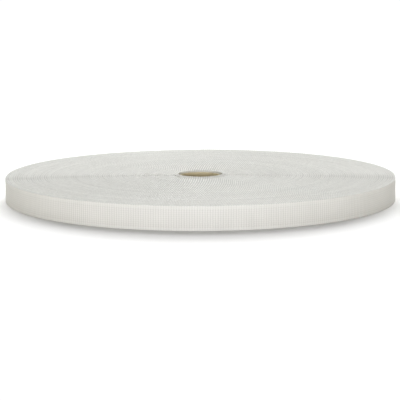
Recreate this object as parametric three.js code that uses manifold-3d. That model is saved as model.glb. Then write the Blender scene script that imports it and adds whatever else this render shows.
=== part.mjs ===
// A flat roll of ribbed webbing lying on its side: one long narrow strap wound in a spiral
// nearly eighty turns deep, on a short paper core whose open bore shows in the middle.
// Millimetres, +Z up. The origin lies on the floor under the middle of the core's axis.

import * as THREE from 'three';
import * as BufferGeometryUtils from 'three/addons/utils/BufferGeometryUtils.js';
import Module from 'manifold-3d';

// The strap: its width is the roll's height, and the pitch is its thickness with the slack of winding.
const WEB_WIDTH = 19.05;
const WEB_LENGTH = 44320;
const TURN_PITCH = 1.85;

// The paper core, which stops just short of the strap's upper edge. Its corners are broken.
const CORE_BORE_RADIUS = 15.875;
const CORE_WALL = 1.25;
const CORE_RECESS = 0.3;
const CORE_OUTSIDE_RADIUS = CORE_BORE_RADIUS + CORE_WALL;
const CORE_CORNER = 0.3;

// The clearance between the core and the first turn.
const FIT_GAP = 0.3;

// How far the prism that trims the winding runs past it at each end.
const TRIM_MARGIN = 1;

// The strap's cut end lies at the back, and the strap is wound anticlockwise seen from above.
const CUT_END_ANGLE = Math.PI / 2;

// Points of a mesh closer than this are one point.
const WELD_DISTANCE = 1e-4;

const ROLL_SEGMENTS = 96;
const CORE_SEGMENTS = 48;

// Turns that slid up together while the roll was handled, from the core outwards. A band of turns
// with a rise stands that far proud on top, and clears the floor by as much underneath.
const TURN_BANDS = [
  { turns: 2, rise: 0.6 },
  { turns: 12, rise: 0.05 },
  { turns: 15, rise: 0.0 },
  { turns: 12, rise: 0.1 },
  { turns: 14, rise: 0.0 },
  { turns: 12, rise: 0.05 },
  { turns: 12, rise: 0.0 },
];

// The cloth seen end on covers its own length times its pitch, which gives the roll's radius.
const WINDING_INSIDE_RADIUS = CORE_OUTSIDE_RADIUS + FIT_GAP;
const WINDING_OUTSIDE_RADIUS = Math.sqrt(
  (WEB_LENGTH * TURN_PITCH) / Math.PI + WINDING_INSIDE_RADIUS ** 2,
);
const SPIRAL_START_RADIUS = WINDING_OUTSIDE_RADIUS - TURN_PITCH / 2;

const webbingMaterial = new THREE.MeshStandardMaterial({
  color: new THREE.Color(0.76, 0.755, 0.715),
  roughness: 0.72,
  metalness: 0,
});

const coreMaterial = new THREE.MeshStandardMaterial({
  color: new THREE.Color(0.42, 0.33, 0.2),
  roughness: 0.9,
  metalness: 0,
});

const wasm = await Module();
wasm.setup();

// A three.js geometry as a solid that can be cut.
function solidFrom(geometry) {
  const bare = geometry.clone();
  bare.deleteAttribute('normal');
  bare.deleteAttribute('uv');
  const merged = BufferGeometryUtils.mergeVertices(bare, WELD_DISTANCE);
  const mesh = new wasm.Mesh({
    numProp: 3,
    vertProperties: Float32Array.from(merged.attributes.position.array),
    triVerts: Uint32Array.from(merged.index.array),
  });
  return new wasm.Manifold(mesh);
}

// A cut solid back as a three.js geometry.
function geometryFrom(solid) {
  const { vertProperties, triVerts } = solid.getMesh();
  const geometry = new THREE.BufferGeometry();
  geometry.setAttribute('position', new THREE.BufferAttribute(vertProperties, 3));
  geometry.setIndex(new THREE.BufferAttribute(triVerts, 1));
  geometry.computeVertexNormals();
  return geometry;
}

// A closed profile of [radius, height] corners turned about +Z.
function turned(corners, segments) {
  const closed = [...corners, corners[0]];
  const profile = closed.map(([radius, height]) => new THREE.Vector2(radius, height));
  return new THREE.LatheGeometry(profile, segments).rotateX(Math.PI / 2);
}

// Each band's inner and outer radius. The outermost band runs on past the outline, which trims it.
function bandRadii() {
  const bands = [];
  let inner = WINDING_INSIDE_RADIUS;
  for (const { turns, rise } of TURN_BANDS) {
    const outer = inner + turns * TURN_PITCH;
    bands.push({ inner, outer, rise });
    inner = outer;
  }
  return bands;
}

// The whole winding before it is trimmed: its upper edges stepped by the bands, its lower ones too.
function bandedRing() {
  const bands = bandRadii();
  const underside = bands.flatMap(({ inner, outer, rise }) => [[inner, rise], [outer, rise]]);
  const top = bands.flatMap(({ inner, outer, rise }) => [
    [inner, WEB_WIDTH + rise],
    [outer, WEB_WIDTH + rise],
  ]);
  return turned([...underside, ...top.reverse()], ROLL_SEGMENTS);
}

// The roll seen from above: its outside grows by one pitch in the last turn and ends in a step.
function spiralOutline() {
  const outline = new THREE.Shape();
  for (let step = 0; step <= ROLL_SEGMENTS; step += 1) {
    const share = step / ROLL_SEGMENTS;
    const radius = SPIRAL_START_RADIUS + TURN_PITCH * share;
    const angle = CUT_END_ANGLE + 2 * Math.PI * share;
    const x = radius * Math.cos(angle);
    const y = radius * Math.sin(angle);
    if (step === 0) outline.moveTo(x, y);
    else outline.lineTo(x, y);
  }
  return outline;
}

// The banded ring, trimmed to the spiral outline.
function woundWebbing() {
  const depth = WEB_WIDTH + 2 * TRIM_MARGIN;
  const prism = new THREE.ExtrudeGeometry(spiralOutline(), { depth, bevelEnabled: false });
  prism.translate(0, 0, -TRIM_MARGIN);
  const trimmed = solidFrom(bandedRing()).intersect(solidFrom(prism));
  const mesh = new THREE.Mesh(geometryFrom(trimmed), webbingMaterial);
  mesh.name = 'wound_webbing';
  return mesh;
}

// The tube's cut ends are slightly broken at their edges, as paper board is after the saw.
function paperCore() {
  const inside = CORE_BORE_RADIUS;
  const outside = CORE_OUTSIDE_RADIUS;
  const top = WEB_WIDTH - CORE_RECESS;
  const corners = [
    [inside, CORE_CORNER],
    [inside + CORE_CORNER, 0],
    [outside - CORE_CORNER, 0],
    [outside, CORE_CORNER],
    [outside, top - CORE_CORNER],
    [outside - CORE_CORNER, top],
    [inside + CORE_CORNER, top],
    [inside, top - CORE_CORNER],
  ];
  const mesh = new THREE.Mesh(turned(corners, CORE_SEGMENTS), coreMaterial);
  mesh.name = 'core';
  return mesh;
}

const roll = new THREE.Group();
roll.add(woundWebbing());
roll.add(paperCore());

export default roll;
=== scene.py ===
"""A flat roll of ribbed webbing on a paper core, lying on its side on a pale floor.

The strap is one long ribbed band. Its path is a spiral measured along the strap from the cut outer
end inwards, so the ribs keep one pitch along the whole length and fall in and out of step from turn
to turn, which is what draws the faint fans on the roll's upper face.
"""

import math

import bmesh
import bpy
import numpy as np
from bpy.props import FloatProperty, FloatVectorProperty, IntProperty, PointerProperty
from mathutils import Matrix, Vector


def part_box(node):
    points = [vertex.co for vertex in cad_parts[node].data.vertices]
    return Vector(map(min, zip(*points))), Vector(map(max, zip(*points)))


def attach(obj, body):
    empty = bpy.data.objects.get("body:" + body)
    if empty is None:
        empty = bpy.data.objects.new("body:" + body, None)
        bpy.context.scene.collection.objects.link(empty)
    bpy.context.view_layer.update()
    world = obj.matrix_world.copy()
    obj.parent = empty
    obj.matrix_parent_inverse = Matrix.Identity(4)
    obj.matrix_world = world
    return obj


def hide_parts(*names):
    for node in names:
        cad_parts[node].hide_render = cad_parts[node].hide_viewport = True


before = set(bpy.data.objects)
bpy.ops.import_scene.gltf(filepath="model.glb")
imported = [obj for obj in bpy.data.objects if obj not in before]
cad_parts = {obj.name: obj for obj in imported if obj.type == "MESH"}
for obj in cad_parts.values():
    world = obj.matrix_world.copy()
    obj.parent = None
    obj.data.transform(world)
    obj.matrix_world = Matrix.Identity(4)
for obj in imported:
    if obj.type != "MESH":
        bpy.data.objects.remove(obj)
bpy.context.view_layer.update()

bl_info = {
    "name": "Webbing Roll",
    "version": (1, 0, 0),
    "blender": (4, 5, 0),
    "location": "3D View > Sidebar > Webbing Roll",
    "description": "A flat roll of ribbed webbing wound on a paper core",
    "category": "Add Mesh",
}

MM = 0.001

# What the frame says about the roll
ROLL_HIGH = Vector(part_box("wound_webbing")[1])
CORE_LOW, CORE_HIGH = (Vector(corner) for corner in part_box("core"))
CORE_OUTSIDE_RADIUS = (CORE_HIGH.x - CORE_LOW.x) / 2
CORE_CORNER = 0.3 * MM
CORE_GAP = 0.3 * MM

# The strap's cut end lies straight behind the roll, and the outermost point is there
CUT_END_ANGLE = math.pi / 2
OUTERMOST_RADIUS = ROLL_HIGH.y

# The innermost turns stand proud of the rest, and the roll's height less this rise is the strap's
# width. Each rise is reached over a part of a turn, and the second comes on top of the first.
PROUD_TURNS, PROUD_CLIMB = 2, 0.5
PROUD_RISE = 0.6 * MM
INNERMOST_TURNS, INNERMOST_CLIMB = 1.2, 0.4
INNERMOST_RISE = 0.35 * MM
WEB_WIDTH = ROLL_HIGH.z - PROUD_RISE

# The outermost stretch lies level and even, and past it the strap wanders from knot to knot, in turns
LEVEL_TURNS, RISE_KNOTS = 1.3, 0.5
EVEN_TURNS, SLACK_KNOTS = 1.4, 0.34

# The strap's pieces, in turns from its cut end: the cut end, the last turn, and the rest inside them
CUT_END_TURNS = 0.2
LAST_TURNS = 1.02

# How high the strap's edges are rounded, and how far the weft loops reach past its even width
UPPER_EDGE = 0.55 * MM
LOWER_EDGE = 0.25 * MM
LOOP_REACH = 0.15 * MM

# The cross-sections of the edge, a rib and a row of yarn, from 0 for square to 1 for round
EDGE_ROUNDNESS = 0.36
RIB_ROUNDNESS = 0.7
ROW_ROUNDNESS = 0.6

# How much painted shade the weave lays on the strap: in its valleys and in the furrows along it,
# less of both on the tighter selvedges, which are flatter. Then the faces and the edges as a whole,
# the edges' painted shade lying in the nicks between the weft loops.
VALLEY_SHARE = 0.75
FURROW_SHARE = 0.40
SELVEDGE_FLATNESS = 0.45
FACE_SHADING = 0.8
NICK_SHADING = 1.6

# How far the yarn's tone varies: in patches, from loop to loop, and slowly along the strap. The
# middle of the last two is taken off again.
PATCH_SPREAD, PATCHES = 0.08, 60.0
LOOP_SPREAD = 0.14
LENGTH_SPREAD, LENGTH_CHANGES = 0.30, 5.0
LOOP_MIDDLE = 0.23

# Relief that the material adds to the mesh
FACE_RELIEF = 0.05 * MM
LOOP_RELIEF = 0.14 * MM
FILAMENT_RELIEF = 0.03 * MM
FILAMENT_PITCH = 0.11 * MM
FILAMENT_STRETCH = 14.0
SELVEDGE_BLEND = 0.3 * MM

# The kraft paper's fibres and clouds: scales, and how far each lightens the board
FIBRES, FIBRE_SPREAD = 900.0, 0.25
CLOUDS, CLOUD_SPREAD = 120.0, 0.2
DARKEST_PAPER = 0.77

# The stage: the photograph's width, the floor, and the surround as it lights and as it is seen
FRAME_WIDTH = 400
FLOOR_RADIUS = 1.3
FILL_STRENGTH = 0.09
SEEN_STRENGTH = 1.05

STRAP_MAP = "Strap"
EDGE_SHARE = "Edge Share"
BAKE_MAP = "OFBake"


class WebbingSettings(bpy.types.PropertyGroup):
    """The strap's sizes and colours."""

    turn_pitch: FloatProperty(
        name="Turn Pitch",
        description="Thickness of the strap with the slack of winding",
        default=1.85 * MM,
        unit="LENGTH",
    )
    thickness: FloatProperty(
        name="Thickness",
        description="Thickness of the strap over its ribs",
        default=1.57 * MM,
        unit="LENGTH",
    )
    rib_pitch: FloatProperty(
        name="Rib Pitch",
        description="Distance from one rib to the next along the strap",
        default=1.9361 * MM,
        unit="LENGTH",
    )
    rib_relief: FloatProperty(
        name="Rib Relief",
        description="Depth of the valleys between the ribs on the strap's face",
        default=0.13 * MM,
        unit="LENGTH",
    )
    row_relief: FloatProperty(
        name="Row Relief",
        description="Depth of the furrows between the bundles of yarn that run along the strap",
        default=0.08 * MM,
        unit="LENGTH",
    )
    nick_depth: FloatProperty(
        name="Nick Depth",
        description="Depth of the nicks between the weft loops along the strap's edges",
        default=0.13 * MM,
        unit="LENGTH",
    )
    selvedge: FloatProperty(
        name="Selvedge",
        description="Width of the tighter woven strip along each edge of the strap's faces",
        default=2.5 * MM,
        unit="LENGTH",
    )
    yarn_rows: IntProperty(
        name="Yarn Rows",
        description="Bundles of yarn across the strap's face",
        default=12,
    )
    slack: FloatProperty(
        name="Slack",
        description="How unevenly the turns lie beside each other",
        default=0.045 * MM,
        unit="LENGTH",
    )
    unevenness: FloatProperty(
        name="Unevenness",
        description="How far some turns stand above the others",
        default=0.04 * MM,
        unit="LENGTH",
    )
    colour: FloatVectorProperty(
        name="Yarn Colour",
        description="Colour of the polypropylene yarn",
        default=(0.657, 0.647, 0.622),
        subtype="COLOR",
    )
    # Painted shade for the valleys between the ribs and the furrows along the strap
    shade: FloatVectorProperty(
        name="Valley Colour",
        description="Colour between the ribs, where the cloth shades itself",
        default=(0.445, 0.436, 0.41),
        subtype="COLOR",
    )
    loop_colour: FloatVectorProperty(
        name="Loop Colour",
        description="Colour of the weft loops along the strap's edges",
        default=(0.636, 0.641, 0.601),
        subtype="COLOR",
    )
    # Painted shade for the nicks between the weft loops
    nick_shade_colour: FloatVectorProperty(
        name="Nick Colour",
        description="Colour between the weft loops",
        default=(0.37, 0.37, 0.35),
        subtype="COLOR",
    )


class CoreSettings(bpy.types.PropertyGroup):
    """The paper core's sizes and colours."""

    wall: FloatProperty(
        name="Wall",
        description="Thickness of the tube's wall",
        default=1.25 * MM,
        unit="LENGTH",
    )
    ply: FloatProperty(
        name="Ply",
        description="Thickness of the innermost paper ply",
        default=0.35 * MM,
        unit="LENGTH",
    )
    ply_pitch: FloatProperty(
        name="Ply Pitch",
        description="How far the innermost ply climbs in one turn",
        default=103 * MM,
        unit="LENGTH",
    )
    seam_gap: FloatProperty(
        name="Seam Gap",
        description="Gap between the ply's edges, measured along the tube",
        default=1.1 * MM,
        unit="LENGTH",
    )
    colour: FloatVectorProperty(
        name="Board Colour",
        description="Colour of the kraft paper",
        default=(0.57, 0.505, 0.355),
        subtype="COLOR",
    )


class StageSettings(bpy.types.PropertyGroup):
    """The camera, floor and lights."""

    distance: FloatProperty(
        name="Camera Distance",
        description="From the middle of the roll's upper face",
        default=1.4023,
        unit="LENGTH",
    )
    elevation: FloatProperty(
        name="Camera Elevation",
        description="Above the roll's upper face",
        default=math.radians(8.24),
        unit="ROTATION",
    )
    dip: FloatProperty(
        name="Camera Dip",
        description="How far the camera looks below the middle of the roll's upper face",
        default=math.radians(0.893),
        unit="ROTATION",
    )
    roll: FloatProperty(
        name="Camera Roll",
        description="Clockwise turn of the camera about its own axis",
        default=math.radians(0.198),
        unit="ROTATION",
    )
    focal_pixels: FloatProperty(
        name="Focal Length",
        description="Focal length in pixels of a frame 400 pixels wide",
        default=1675.0,
    )
    floor_colour: FloatVectorProperty(
        name="Floor Colour",
        description="Colour of the pale floor",
        default=(0.94, 0.94, 0.94),
        subtype="COLOR",
    )


def settings():
    """The roll's settings in this scene."""
    return bpy.context.scene.webbing_roll


def spiral():
    """The pitch of the turns, and the radius of the strap's middle at its cut end."""
    pitch = settings().webbing.turn_pitch
    return pitch, OUTERMOST_RADIUS - pitch / 2


def strap_path(length):
    """Turns back from the cut end, and the radius of the strap's middle, at a length along it."""
    pitch, start = spiral()
    turns = (start - np.sqrt(start**2 - pitch * length / math.pi)) / pitch
    return turns, start - pitch * turns


def strap_length(turns):
    """Length along the strap from its cut end to a number of turns back."""
    pitch, start = spiral()
    return math.pi * (2 * start * turns - pitch * turns**2)


def all_turns():
    """How many turns fit between the cut end and the core."""
    pitch, start = spiral()
    innermost = CORE_OUTSIDE_RADIUS + CORE_GAP + pitch / 2
    return (start - innermost) / pitch


def turn_rise(turns):
    """How far the strap stands up: a little unevenly, and well proud next to the core."""
    unevenness = settings().webbing.unevenness
    noise = np.random.default_rng(11)
    knots = np.arange(LEVEL_TURNS, all_turns() + 1, RISE_KNOTS)
    uneven = np.interp(turns, knots, noise.uniform(0, unevenness, len(knots)), left=0.0)
    proud = np.clip((turns - all_turns() + PROUD_TURNS) / PROUD_CLIMB, 0, 1)
    innermost = np.clip((turns - all_turns() + INNERMOST_TURNS) / INNERMOST_CLIMB, 0, 1)
    return uneven + PROUD_RISE * proud + INNERMOST_RISE * innermost


def turn_slack(turns):
    """How far the strap lies off its even spiral, so that the gaps between turns differ."""
    strap = settings().webbing
    noise = np.random.default_rng(7)
    knots = np.arange(0, all_turns() + 2, SLACK_KNOTS)
    slack = noise.uniform(-strap.slack, strap.slack, len(knots))
    slack[knots < EVEN_TURNS] = 0.0
    return np.interp(turns, knots, slack)


def strap_section(top_points, face_steps, foot_points):
    """Rows of across, height and edge share round the strap, from the inner face's foot upwards.

    Across is in half thicknesses outwards, edge share is 1 at an edge's crown and 0 on a face.
    """
    low, high = LOWER_EDGE, WEB_WIDTH - UPPER_EDGE
    rows = [(-1.0, low, 0.0), (-1.0, high, 0.0)]
    for i in range(1, top_points + 1):
        angle = math.pi * (1 - i / (top_points + 1))
        across = math.copysign(abs(math.cos(angle)) ** EDGE_ROUNDNESS, math.cos(angle))
        crown = (UPPER_EDGE + LOOP_REACH) * math.sin(angle) ** EDGE_ROUNDNESS
        rows.append((across, high + crown, math.sin(angle)))
    for i in range(face_steps + 1):
        rows.append((1.0, high + (low - high) * i / face_steps, 0.0))
    for i in range(1, foot_points + 1):
        angle = math.pi * i / (foot_points + 1)
        rows.append((math.cos(angle), low - LOWER_EDGE * math.sin(angle), math.sin(angle)))
    return np.array(rows + rows[:1])


def rib_crest(ribs):
    """From 0 in the valley between two ribs to 1 along a rib's crest."""
    return np.sin(math.pi * (ribs % 1.0)) ** RIB_ROUNDNESS


def row_crest(height):
    """From 0 between two bundles of yarn to 1 along a bundle."""
    return np.abs(np.sin(math.pi * height / WEB_WIDTH * settings().webbing.yarn_rows))


def strap_piece(name, first_rib, last_rib, steps_per_rib, section):
    """A stretch of the strap as a closed mesh: a flat grid rolled up round its section and the spiral."""
    strap = settings().webbing
    around = len(section) - 1
    steps = (last_rib - first_rib) * steps_per_rib

    bm = bmesh.new()
    bmesh.ops.create_grid(bm, x_segments=steps, y_segments=around, size=0.5)
    mesh = bpy.data.meshes.new(name)
    bm.to_mesh(mesh)

    place = np.empty(len(mesh.vertices) * 3, dtype=np.float32)
    mesh.vertices.foreach_get("co", place)
    place = place.reshape(-1, 3)
    step = np.rint((place[:, 0] + 0.5) * steps).astype(int)
    row = np.rint((place[:, 1] + 0.5) * around).astype(int)
    ribs = first_rib + step / steps_per_rib
    across, height, edge = section[row].T

    # The relief of the faces, and the nicks between the weft loops along the edges
    crest = rib_crest(ribs)
    furrow = (1 - row_crest(height)) * (1 - edge)
    half = strap.thickness / 2 - (1 - crest) * strap.rib_relief - furrow * strap.row_relief
    nick = np.where(height > WEB_WIDTH / 2, -strap.nick_depth, LOWER_EDGE / 2)
    height = height + edge * (1 - crest) * nick
    turns, radius = strap_path(ribs * strap.rib_pitch)
    radius = radius + across * half + turn_slack(turns)
    angle = CUT_END_ANGLE - 2 * math.pi * turns
    place[:, 0] = radius * np.cos(angle)
    place[:, 1] = radius * np.sin(angle)
    place[:, 2] = turn_rise(turns) + height
    mesh.vertices.foreach_set("co", place.ravel())
    share = mesh.attributes.new(EDGE_SHARE, "FLOAT", "POINT")
    share.data.foreach_set("value", edge.astype(np.float32))

    strap_maps(mesh, section, ribs, row)

    bm.clear()
    bm.from_mesh(mesh)
    bmesh.ops.remove_doubles(bm, verts=bm.verts, dist=0.001 * MM)
    ends = [edge for edge in bm.edges if edge.is_boundary]
    bmesh.ops.holes_fill(bm, edges=ends, sides=0)
    bmesh.ops.recalc_face_normals(bm, faces=bm.faces)
    for face in bm.faces:
        face.smooth = abs(face.normal.z) < 0.5 and len(face.verts) == 4
    bm.to_mesh(mesh)
    bm.free()
    return shown(name, mesh)


def strap_maps(mesh, section, ribs, row):
    """The map the weave follows, in metres along and around, and one with a row for each turn."""
    strap = settings().webbing
    end_margin, row_margin = 0.01, 0.02
    corners = np.diff(section[:, :2] * (strap.thickness / 2, 1.0), axis=0)
    around = np.concatenate([[0.0], np.cumsum(np.hypot(*corners.T))])
    vertex = np.empty(len(mesh.loops), dtype=np.int32)
    mesh.loops.foreach_get("vertex_index", vertex)
    length = ribs[vertex] * strap.rib_pitch
    weave = mesh.uv_layers.new(name=STRAP_MAP)
    flat = np.column_stack([length, around[row[vertex]]])
    weave.uv.foreach_set("vector", flat.astype(np.float32).ravel())

    turns = strap_path(length)[0]
    turn = np.floor(turns.reshape(-1, 4).mean(axis=1)).repeat(4)
    first, count = turn.min(), turn.max() - turn.min() + 1
    across = row[vertex] / (len(section) - 1)
    rolled = np.column_stack([
        end_margin + (1 - 2 * end_margin) * (turns - turn),
        (turn - first + row_margin + (1 - 2 * row_margin) * across) / count,
    ])
    bake = mesh.uv_layers.new(name=BAKE_MAP)
    bake.uv.foreach_set("vector", rolled.astype(np.float32).ravel())
    mesh.uv_layers.active = weave


def shown(name, mesh):
    """An object for a finished mesh, at the origin."""
    piece = bpy.data.objects.new(name, mesh)
    bpy.context.collection.objects.link(piece)
    return piece


def dress(piece, material, node):
    """Gives a piece its material and its place in the frame."""
    piece.data.materials.append(material)
    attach(piece, "root")
    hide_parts(node)


class Tree:
    """Short calls for a node tree."""

    def __init__(self, tree):
        self.tree = tree

    def add(self, kind, **values):
        """A new node with some of its properties set."""
        node = self.tree.nodes.new(kind)
        for key, value in values.items():
            setattr(node, key, value)
        return node

    def link(self, source, target):
        """Joins an output to an input."""
        self.tree.links.new(source, target)

    def feed(self, socket, value):
        """A socket takes another node's output or a plain number."""
        if isinstance(value, bpy.types.NodeSocket):
            self.link(value, socket)
        else:
            socket.default_value = value

    def math(self, operation, first, second=0.0, third=0.0, clamp=False):
        """The output of one sum."""
        node = self.add("ShaderNodeMath", operation=operation, use_clamp=clamp)
        for socket, value in zip(node.inputs, (first, second, third)):
            self.feed(socket, value)
        return node.outputs[0]

    def mix(self, share, first, second):
        """The second colour over the first, by a share."""
        node = self.add("ShaderNodeMix", data_type="RGBA")
        self.feed(node.inputs["Factor"], share)
        self.feed(node.inputs[6], first)
        self.feed(node.inputs[7], second)
        return node.outputs[2]


def new_group(name, inputs, outputs):
    """A shader node group with named sockets, and its two ends."""
    group = bpy.data.node_groups.new(name, "ShaderNodeTree")
    for label, kind in inputs:
        group.interface.new_socket(label, in_out="INPUT", socket_type=kind)
    for label, kind in outputs:
        group.interface.new_socket(label, in_out="OUTPUT", socket_type=kind)
    tree = Tree(group)
    return group, tree, tree.add("NodeGroupInput").outputs, tree.add("NodeGroupOutput").inputs


def rib_weave_group():
    """The weave over the strap's own map: valleys between ribs, furrows between rows, filaments, tones."""
    name = "Rib Weave"
    if name in bpy.data.node_groups:
        return bpy.data.node_groups[name]
    group, tree, given, out = new_group(
        name,
        [
            ("Strap", "NodeSocketVector"),
            ("Rib Pitch", "NodeSocketFloat"),
            ("Row Pitch", "NodeSocketFloat"),
            ("Filament Pitch", "NodeSocketFloat"),
        ],
        [
            ("Valley", "NodeSocketFloat"),
            ("Furrow", "NodeSocketFloat"),
            ("Filaments", "NodeSocketFloat"),
            ("Tone", "NodeSocketFloat"),
            ("Rib Tone", "NodeSocketFloat"),
            ("Length Tone", "NodeSocketFloat"),
        ],
    )
    split = tree.add("ShaderNodeSeparateXYZ")
    tree.link(given["Strap"], split.inputs[0])
    ribs = tree.math("DIVIDE", split.outputs["X"], given["Rib Pitch"])
    rib_wave = tree.math("SINE", tree.math("MULTIPLY", tree.math("FRACT", ribs), math.pi))
    crest = tree.math("POWER", rib_wave, RIB_ROUNDNESS)
    tree.link(tree.math("SUBTRACT", 1.0, crest, clamp=True), out["Valley"])

    # Each bundle of yarn sits a little higher on every second rib
    number = tree.math("FLOOR", ribs)
    odd = tree.math("FRACT", tree.math("MULTIPLY", number, 0.5))
    rows = tree.math("DIVIDE", split.outputs["Y"], given["Row Pitch"])
    rows = tree.math("MULTIPLY_ADD", odd, 0.3, rows)
    row_wave = tree.math("ABSOLUTE", tree.math("SINE", tree.math("MULTIPLY", rows, math.pi)))
    furrow = tree.math("SUBTRACT", 1.0, tree.math("POWER", row_wave, ROW_ROUNDNESS), clamp=True)
    tree.link(furrow, out["Furrow"])

    fine = tree.add("ShaderNodeCombineXYZ")
    drawn_out = tree.math("MULTIPLY", given["Filament Pitch"], FILAMENT_STRETCH)
    tree.link(tree.math("DIVIDE", split.outputs["X"], drawn_out), fine.inputs["X"])
    tree.link(tree.math("DIVIDE", split.outputs["Y"], given["Filament Pitch"]), fine.inputs["Y"])
    threads = tree.add("ShaderNodeTexNoise", noise_dimensions="3D")
    tree.link(fine.outputs[0], threads.inputs["Vector"])
    threads.inputs["Scale"].default_value = 1.0
    threads.inputs["Detail"].default_value = 2.0
    tree.link(threads.outputs["Fac"], out["Filaments"])

    patch = tree.add("ShaderNodeTexNoise", noise_dimensions="3D")
    tree.link(given["Strap"], patch.inputs["Vector"])
    patch.inputs["Scale"].default_value = PATCHES
    patch.inputs["Detail"].default_value = 3.0
    tree.link(patch.outputs["Fac"], out["Tone"])

    own = tree.add("ShaderNodeTexWhiteNoise", noise_dimensions="1D")
    tree.link(number, own.inputs["W"])
    tree.link(own.outputs["Value"], out["Rib Tone"])

    # Slow changes along the strap, which set neighbouring turns apart
    slow = tree.add("ShaderNodeTexNoise", noise_dimensions="1D")
    tree.link(split.outputs["X"], slow.inputs["W"])
    slow.inputs["Scale"].default_value = LENGTH_CHANGES
    slow.inputs["Detail"].default_value = 1.0
    tree.link(slow.outputs["Fac"], out["Length Tone"])
    return group


def webbing_material():
    """White polypropylene yarn: painted shade in its valleys and nicks, its filaments fine, each weft loop
    a little its own.
    """
    name = "Woven polypropylene"
    if name in bpy.data.materials:
        return bpy.data.materials[name]
    strap = settings().webbing
    material = bpy.data.materials.new(name)
    material.use_nodes = True
    tree = Tree(material.node_tree)
    shader = material.node_tree.nodes["Principled BSDF"]
    place = tree.add("ShaderNodeUVMap", uv_map=STRAP_MAP)
    weave = tree.add("ShaderNodeGroup", node_tree=rib_weave_group())
    tree.link(place.outputs[0], weave.inputs["Strap"])
    weave.inputs["Rib Pitch"].default_value = strap.rib_pitch
    weave.inputs["Row Pitch"].default_value = WEB_WIDTH / strap.yarn_rows
    weave.inputs["Filament Pitch"].default_value = FILAMENT_PITCH

    # 1 along the strap's upper and lower edges, where only the weft loops show
    share = tree.add("ShaderNodeAttribute", attribute_type="GEOMETRY", attribute_name=EDGE_SHARE)
    edge = tree.math("MULTIPLY_ADD", share.outputs["Fac"], 5.0, -2.5, clamp=True)

    # 1 over the selvedges on the strap's faces, which are woven tighter: less painted shade and relief
    # there, so a lighter band
    height = tree.add("ShaderNodeSeparateXYZ")
    tree.link(tree.add("ShaderNodeTexCoord").outputs["Object"], height.inputs[0])
    from_middle = tree.math("ABSOLUTE", tree.math("SUBTRACT", height.outputs["Z"], WEB_WIDTH / 2))
    past_face = tree.math("SUBTRACT", from_middle, WEB_WIDTH / 2 - strap.selvedge)
    selvedge = tree.math("DIVIDE", past_face, SELVEDGE_BLEND, clamp=True)

    # Painted shade: the faces darken into valleys and furrows, and the edges into the nicks between loops
    valleys = tree.math("MULTIPLY", weave.outputs["Valley"], VALLEY_SHARE)
    ribbed = tree.math("MULTIPLY_ADD", weave.outputs["Furrow"], FURROW_SHARE, valleys)
    flatter = tree.math("MULTIPLY_ADD", selvedge, -SELVEDGE_FLATNESS, 1.0)
    ribbed = tree.math("MULTIPLY", ribbed, flatter)
    painted_face_shade = tree.math("MULTIPLY", ribbed, FACE_SHADING, clamp=True)
    face = tree.mix(painted_face_shade, (*strap.colour, 1.0), (*strap.shade, 1.0))
    painted_nick_shade = tree.math("MULTIPLY", weave.outputs["Valley"], NICK_SHADING, clamp=True)
    loops = tree.mix(painted_nick_shade, (*strap.loop_colour, 1.0), (*strap.nick_shade_colour, 1.0))
    yarn = tree.mix(edge, face, loops)

    # The tone varies in patches everywhere, and from loop to loop and turn to turn along the edges
    patches = tree.math("MULTIPLY_ADD", weave.outputs["Tone"], PATCH_SPREAD, 1 - PATCH_SPREAD / 2)
    loop_tone = tree.math("MULTIPLY_ADD", weave.outputs["Rib Tone"], LOOP_SPREAD, -LOOP_MIDDLE)
    loop_tone = tree.math("MULTIPLY_ADD", weave.outputs["Length Tone"], LENGTH_SPREAD, loop_tone)
    toned = tree.add("ShaderNodeVectorMath", operation="SCALE")
    tree.link(yarn, toned.inputs[0])
    tree.link(tree.math("MULTIPLY_ADD", loop_tone, edge, patches), toned.inputs["Scale"])
    tree.link(toned.outputs[0], shader.inputs["Base Color"])

    rough = tree.math("MULTIPLY_ADD", weave.outputs["Valley"], 0.2, 0.6)
    tree.link(rough, shader.inputs["Roughness"])

    # Relief in metres: the mesh holds the coarse shape, and this rounds the loops and draws the yarn
    face_relief = tree.math("MULTIPLY", ribbed, -FACE_RELIEF)
    loop_relief = tree.math("MULTIPLY", weave.outputs["Valley"], -LOOP_RELIEF)
    relief = tree.math("MULTIPLY", edge, tree.math("SUBTRACT", loop_relief, face_relief))
    relief = tree.math("ADD", relief, face_relief)
    relief = tree.math("MULTIPLY_ADD", weave.outputs["Filaments"], FILAMENT_RELIEF, relief)
    bump = tree.add("ShaderNodeBump")
    bump.inputs["Distance"].default_value = 1.0
    tree.link(relief, bump.inputs["Height"])
    tree.link(bump.outputs[0], shader.inputs["Normal"])
    shader.inputs["Specular IOR Level"].default_value = 0.25
    return material


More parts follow.
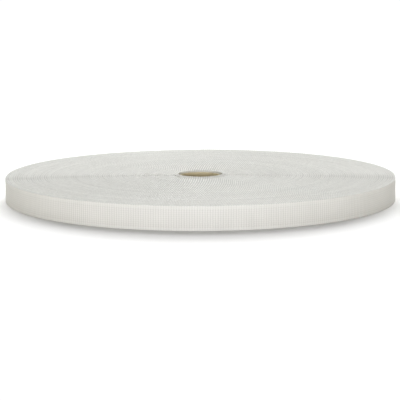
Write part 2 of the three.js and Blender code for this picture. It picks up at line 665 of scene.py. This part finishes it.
def kraft_material():
    """Kraft paper: fine fibres round the tube, and paler clouds."""
    core = settings().core
    material = bpy.data.materials.new("Kraft paper")
    material.use_nodes = True
    tree = Tree(material.node_tree)
    shader = material.node_tree.nodes["Principled BSDF"]
    place = tree.add("ShaderNodeTexCoord")
    stretch = tree.add("ShaderNodeMapping")
    stretch.inputs["Scale"].default_value = (1.0, 1.0, 4.0)
    tree.link(place.outputs["Object"], stretch.inputs["Vector"])
    fibres = tree.add("ShaderNodeTexNoise")
    fibres.inputs["Scale"].default_value = FIBRES
    fibres.inputs["Detail"].default_value = 5.0
    tree.link(stretch.outputs[0], fibres.inputs["Vector"])
    clouds = tree.add("ShaderNodeTexNoise")
    clouds.inputs["Scale"].default_value = CLOUDS
    clouds.inputs["Detail"].default_value = 3.0
    tree.link(place.outputs["Object"], clouds.inputs["Vector"])

    tone = tree.math("MULTIPLY_ADD", fibres.outputs["Fac"], FIBRE_SPREAD, DARKEST_PAPER)
    tone = tree.math("MULTIPLY_ADD", clouds.outputs["Fac"], CLOUD_SPREAD, tone)
    paper = tree.add("ShaderNodeVectorMath", operation="SCALE")
    paper.inputs[0].default_value = core.colour
    tree.link(tone, paper.inputs["Scale"])
    tree.link(paper.outputs[0], shader.inputs["Base Color"])
    tree.link(tree.math("MULTIPLY_ADD", clouds.outputs["Fac"], 0.2, 0.75), shader.inputs["Roughness"])
    bump = tree.add("ShaderNodeBump")
    bump.inputs["Strength"].default_value = 0.5
    bump.inputs["Distance"].default_value = 0.08 * MM
    tree.link(fibres.outputs["Fac"], bump.inputs["Height"])
    tree.link(bump.outputs[0], shader.inputs["Normal"])
    shader.inputs["Specular IOR Level"].default_value = 0.25
    return material


def floor_material():
    """The plain pale floor, matt and very light."""
    stage = settings().stage
    material = bpy.data.materials.new("Pale floor")
    material.use_nodes = True
    tree = Tree(material.node_tree)
    shader = material.node_tree.nodes["Principled BSDF"]
    shader.inputs["Base Color"].default_value = (*stage.floor_colour, 1.0)
    shader.inputs["Roughness"].default_value = 0.9
    shader.inputs["Specular IOR Level"].default_value = 0.1
    return material


class WEBROLL_OT_inner_turns(bpy.types.Operator):
    """Wind the strap's inner turns, in four lengths that meet end to end"""

    bl_idname = "webroll.inner_turns"
    bl_label = "Inner Turns"
    bl_options = {"REGISTER", "UNDO"}

    lengths = 4

    def execute(self, context):
        pitch = settings().webbing.rib_pitch
        first = math.floor(strap_length(LAST_TURNS) / pitch)
        last = math.floor(strap_length(all_turns()) / pitch)
        cuts = [round(first + (last - first) * i / self.lengths) for i in range(self.lengths + 1)]
        section = strap_section(top_points=3, face_steps=1, foot_points=1)
        for i in range(self.lengths):
            name = f"inner_turns_{i + 1}"
            piece = strap_piece(name, cuts[i], cuts[i + 1], steps_per_rib=2, section=section)
            dress(piece, webbing_material(), "wound_webbing")
        return {"FINISHED"}


class WEBROLL_OT_last_turn(bpy.types.Operator):
    """Lay the strap's last turn, whose outer face shows its weave, up to the cut end"""

    bl_idname = "webroll.last_turn"
    bl_label = "Last Turn"
    bl_options = {"REGISTER", "UNDO"}

    def execute(self, context):
        strap = settings().webbing
        join = round(strap_length(CUT_END_TURNS) / strap.rib_pitch)
        last = math.floor(strap_length(LAST_TURNS) / strap.rib_pitch)
        section = strap_section(top_points=5, face_steps=3 * strap.yarn_rows, foot_points=3)
        for name, start, end in (("cut_end", 0, join), ("last_turn", join, last)):
            piece = strap_piece(name, start, end, steps_per_rib=4, section=section)
            dress(piece, webbing_material(), "wound_webbing")
        return {"FINISHED"}


class WEBROLL_OT_paper_core(bpy.types.Operator):
    """Turn the paper tube and lay its innermost ply inside it, with the ply's seam open"""

    bl_idname = "webroll.paper_core"
    bl_label = "Paper Core"
    bl_options = {"REGISTER", "UNDO"}

    def execute(self, context):
        core = settings().core
        inside = CORE_OUTSIDE_RADIUS - core.wall
        low, high = CORE_LOW.z, CORE_HIGH.z

        # The tube without its innermost ply
        bm = bmesh.new()
        profile = [
            (inside + core.ply, low),
            (CORE_OUTSIDE_RADIUS - CORE_CORNER, low),
            (CORE_OUTSIDE_RADIUS, low + CORE_CORNER),
            (CORE_OUTSIDE_RADIUS, high - CORE_CORNER),
            (CORE_OUTSIDE_RADIUS - CORE_CORNER, high),
            (inside + core.ply, high),
        ]
        ring = [bm.verts.new((radius, 0.0, height)) for radius, height in profile]
        sides = [bm.edges.new((ring[i - 1], ring[i])) for i in range(len(ring))]
        bmesh.ops.spin(
            bm, geom=[*ring, *sides], axis=(0, 0, 1), cent=(0, 0, 0),
            angle=2 * math.pi, steps=96, use_merge=True,
        )

        # The ply climbs as a screw past both ends of the tube, and is cut off just inside them
        ply = bmesh.new()
        climb, turns, steps, trim = core.ply_pitch, 2, 192, 0.05 * MM
        foot = high - 1.5 * climb
        strip = [
            ply.verts.new((radius, 0.0, height))
            for radius, height in (
                (inside, foot),
                (inside + core.ply, foot),
                (inside + core.ply, foot + climb - core.seam_gap),
                (inside, foot + climb - core.seam_gap),
            )
        ]
        end = ply.faces.new(strip)
        bmesh.ops.spin(
            ply, geom=[end, *end.edges, *end.verts], axis=(0, 0, 1), cent=(0, 0, 0),
            dvec=(0, 0, climb * turns / steps), angle=2 * math.pi * turns, steps=steps,
        )
        for height, up in ((high - trim, 1), (low + trim, -1)):
            cut = bmesh.ops.bisect_plane(
                ply, geom=[*ply.verts, *ply.edges, *ply.faces], dist=0.001 * MM,
                plane_co=(0, 0, height), plane_no=(0, 0, up), clear_outer=True,
            )
            rim = [part for part in cut["geom_cut"] if isinstance(part, bmesh.types.BMEdge)]
            bmesh.ops.holes_fill(ply, edges=rim, sides=0)
        bmesh.ops.recalc_face_normals(ply, faces=ply.faces)

        ply_mesh = bpy.data.meshes.new("ply")
        ply.to_mesh(ply_mesh)
        ply.free()
        bmesh.ops.recalc_face_normals(bm, faces=bm.faces)
        bm.from_mesh(ply_mesh)
        bpy.data.meshes.remove(ply_mesh)
        mesh = bpy.data.meshes.new("paper_core")
        bm.to_mesh(mesh)
        bm.free()
        dress(shown("paper_core", mesh), kraft_material(), "core")
        return {"FINISHED"}


class WEBROLL_OT_stage(bpy.types.Operator):
    """Set the pale floor, the soft lights and the camera"""

    bl_idname = "webroll.stage"
    bl_label = "Stage"
    bl_options = {"REGISTER", "UNDO"}

    def execute(self, context):
        self.floor()
        self.lights()
        self.sky()
        self.camera()
        context.scene.view_settings.view_transform = "Standard"
        return {"FINISHED"}

    def floor(self):
        """A wide round floor."""
        bm = bmesh.new()
        bmesh.ops.create_circle(bm, cap_ends=True, segments=96, radius=FLOOR_RADIUS)
        mesh = bpy.data.meshes.new("floor")
        bm.to_mesh(mesh)
        bm.free()
        mesh.materials.append(floor_material())
        shown("floor", mesh)

    def lights(self):
        """Wide panels behind the roll, a low one in front, and a faint warm one at each side."""
        # Name, degrees round from the front, degrees up, distance, width, height, power, colour
        neutral, warm = (1.0, 1.0, 1.0), (1.0, 0.92, 0.45)
        panels = (
            ("back_low", 179, 22, 4.8, 6.0, 1.4, 305.0, neutral),
            ("back_middle", 179, 40, 4.8, 6.0, 1.8, 160.0, neutral),
            ("back_high", 179, 60, 4.8, 6.0, 1.8, 104.0, neutral),
            ("front", -2, 5, 2.6, 1.6, 0.3, 55.0, neutral),
            ("left", -85, 8, 2.4, 0.8, 0.5, 4.2, warm),
            ("right", 85, 8, 2.4, 0.8, 0.5, 3.6, warm),
        )
        for name, turn, up, distance, width, height, power, colour in panels:
            raised = Matrix.Rotation(math.radians(-up), 3, "X") @ Vector((0.0, -distance, 0.0))
            place = Matrix.Rotation(math.radians(turn), 3, "Z") @ raised
            lamp = bpy.data.lights.new(name, "AREA")
            lamp.shape = "RECTANGLE"
            lamp.size = width
            lamp.size_y = height
            lamp.energy = power
            lamp.color = colour
            panel = bpy.data.objects.new(name, lamp)
            panel.location = place
            panel.rotation_euler = (-place).to_track_quat("-Z", "Y").to_euler()
            panel.visible_camera = False
            bpy.context.collection.objects.link(panel)

    def sky(self):
        """White to the camera, and a dim even fill to everything else."""
        world = bpy.data.worlds.new("White surround")
        world.use_nodes = True
        bpy.context.scene.world = world
        tree = Tree(world.node_tree)
        world.node_tree.nodes.clear()
        path = tree.add("ShaderNodeLightPath")
        fill = tree.add("ShaderNodeBackground")
        fill.inputs["Strength"].default_value = FILL_STRENGTH
        seen = tree.add("ShaderNodeBackground")
        seen.inputs["Strength"].default_value = SEEN_STRENGTH
        for node in (fill, seen):
            node.inputs["Color"].default_value = (1.0, 1.0, 1.0, 1.0)
        both = tree.add("ShaderNodeMixShader")
        tree.link(path.outputs["Is Camera Ray"], both.inputs[0])
        tree.link(fill.outputs[0], both.inputs[1])
        tree.link(seen.outputs[0], both.inputs[2])
        out = tree.add("ShaderNodeOutputWorld")
        tree.link(both.outputs[0], out.inputs["Surface"])

    def camera(self):
        """The camera where the photograph was taken from."""
        stage = settings().stage
        middle = Vector((0.0, 0.0, ROLL_HIGH.z))
        back = Vector((0.0, -math.cos(stage.elevation), math.sin(stage.elevation)))
        lens = bpy.data.cameras.new("camera")
        lens.sensor_fit = "HORIZONTAL"
        lens.sensor_width = 36.0
        lens.lens = lens.sensor_width * stage.focal_pixels / FRAME_WIDTH
        eye = bpy.data.objects.new("camera", lens)
        level = (-back).to_track_quat("-Z", "Y").to_matrix().to_4x4()
        dip = Matrix.Rotation(-stage.dip, 4, "X")
        turn = Matrix.Rotation(-stage.roll, 4, "Z")
        eye.matrix_world = Matrix.Translation(middle + back * stage.distance) @ level @ dip @ turn
        bpy.context.collection.objects.link(eye)
        bpy.context.scene.camera = eye


PARTS = (
    WEBROLL_OT_inner_turns,
    WEBROLL_OT_last_turn,
    WEBROLL_OT_paper_core,
    WEBROLL_OT_stage,
)


class RollSettings(bpy.types.PropertyGroup):
    """All the roll's settings."""

    webbing: PointerProperty(type=WebbingSettings)
    core: PointerProperty(type=CoreSettings)
    stage: PointerProperty(type=StageSettings)


class WEBROLL_PT_parts(bpy.types.Panel):
    """The roll's pieces, each with its own button"""

    bl_idname = "WEBROLL_PT_parts"
    bl_label = "Webbing Roll"
    bl_space_type = "VIEW_3D"
    bl_region_type = "UI"
    bl_category = "Webbing Roll"

    def draw(self, context):
        for part in PARTS:
            self.layout.operator(part.bl_idname)


CLASSES = (WebbingSettings, CoreSettings, StageSettings, RollSettings, *PARTS, WEBROLL_PT_parts)


def register():
    for cls in CLASSES:
        bpy.utils.register_class(cls)
    bpy.types.Scene.webbing_roll = PointerProperty(type=RollSettings)


def unregister():
    del bpy.types.Scene.webbing_roll
    for cls in reversed(CLASSES):
        bpy.utils.unregister_class(cls)


def main():
    register()
    bpy.ops.webroll.inner_turns()
    bpy.ops.webroll.last_turn()
    bpy.ops.webroll.paper_core()
    bpy.ops.webroll.stage()


if __name__ == "__main__":
    main()
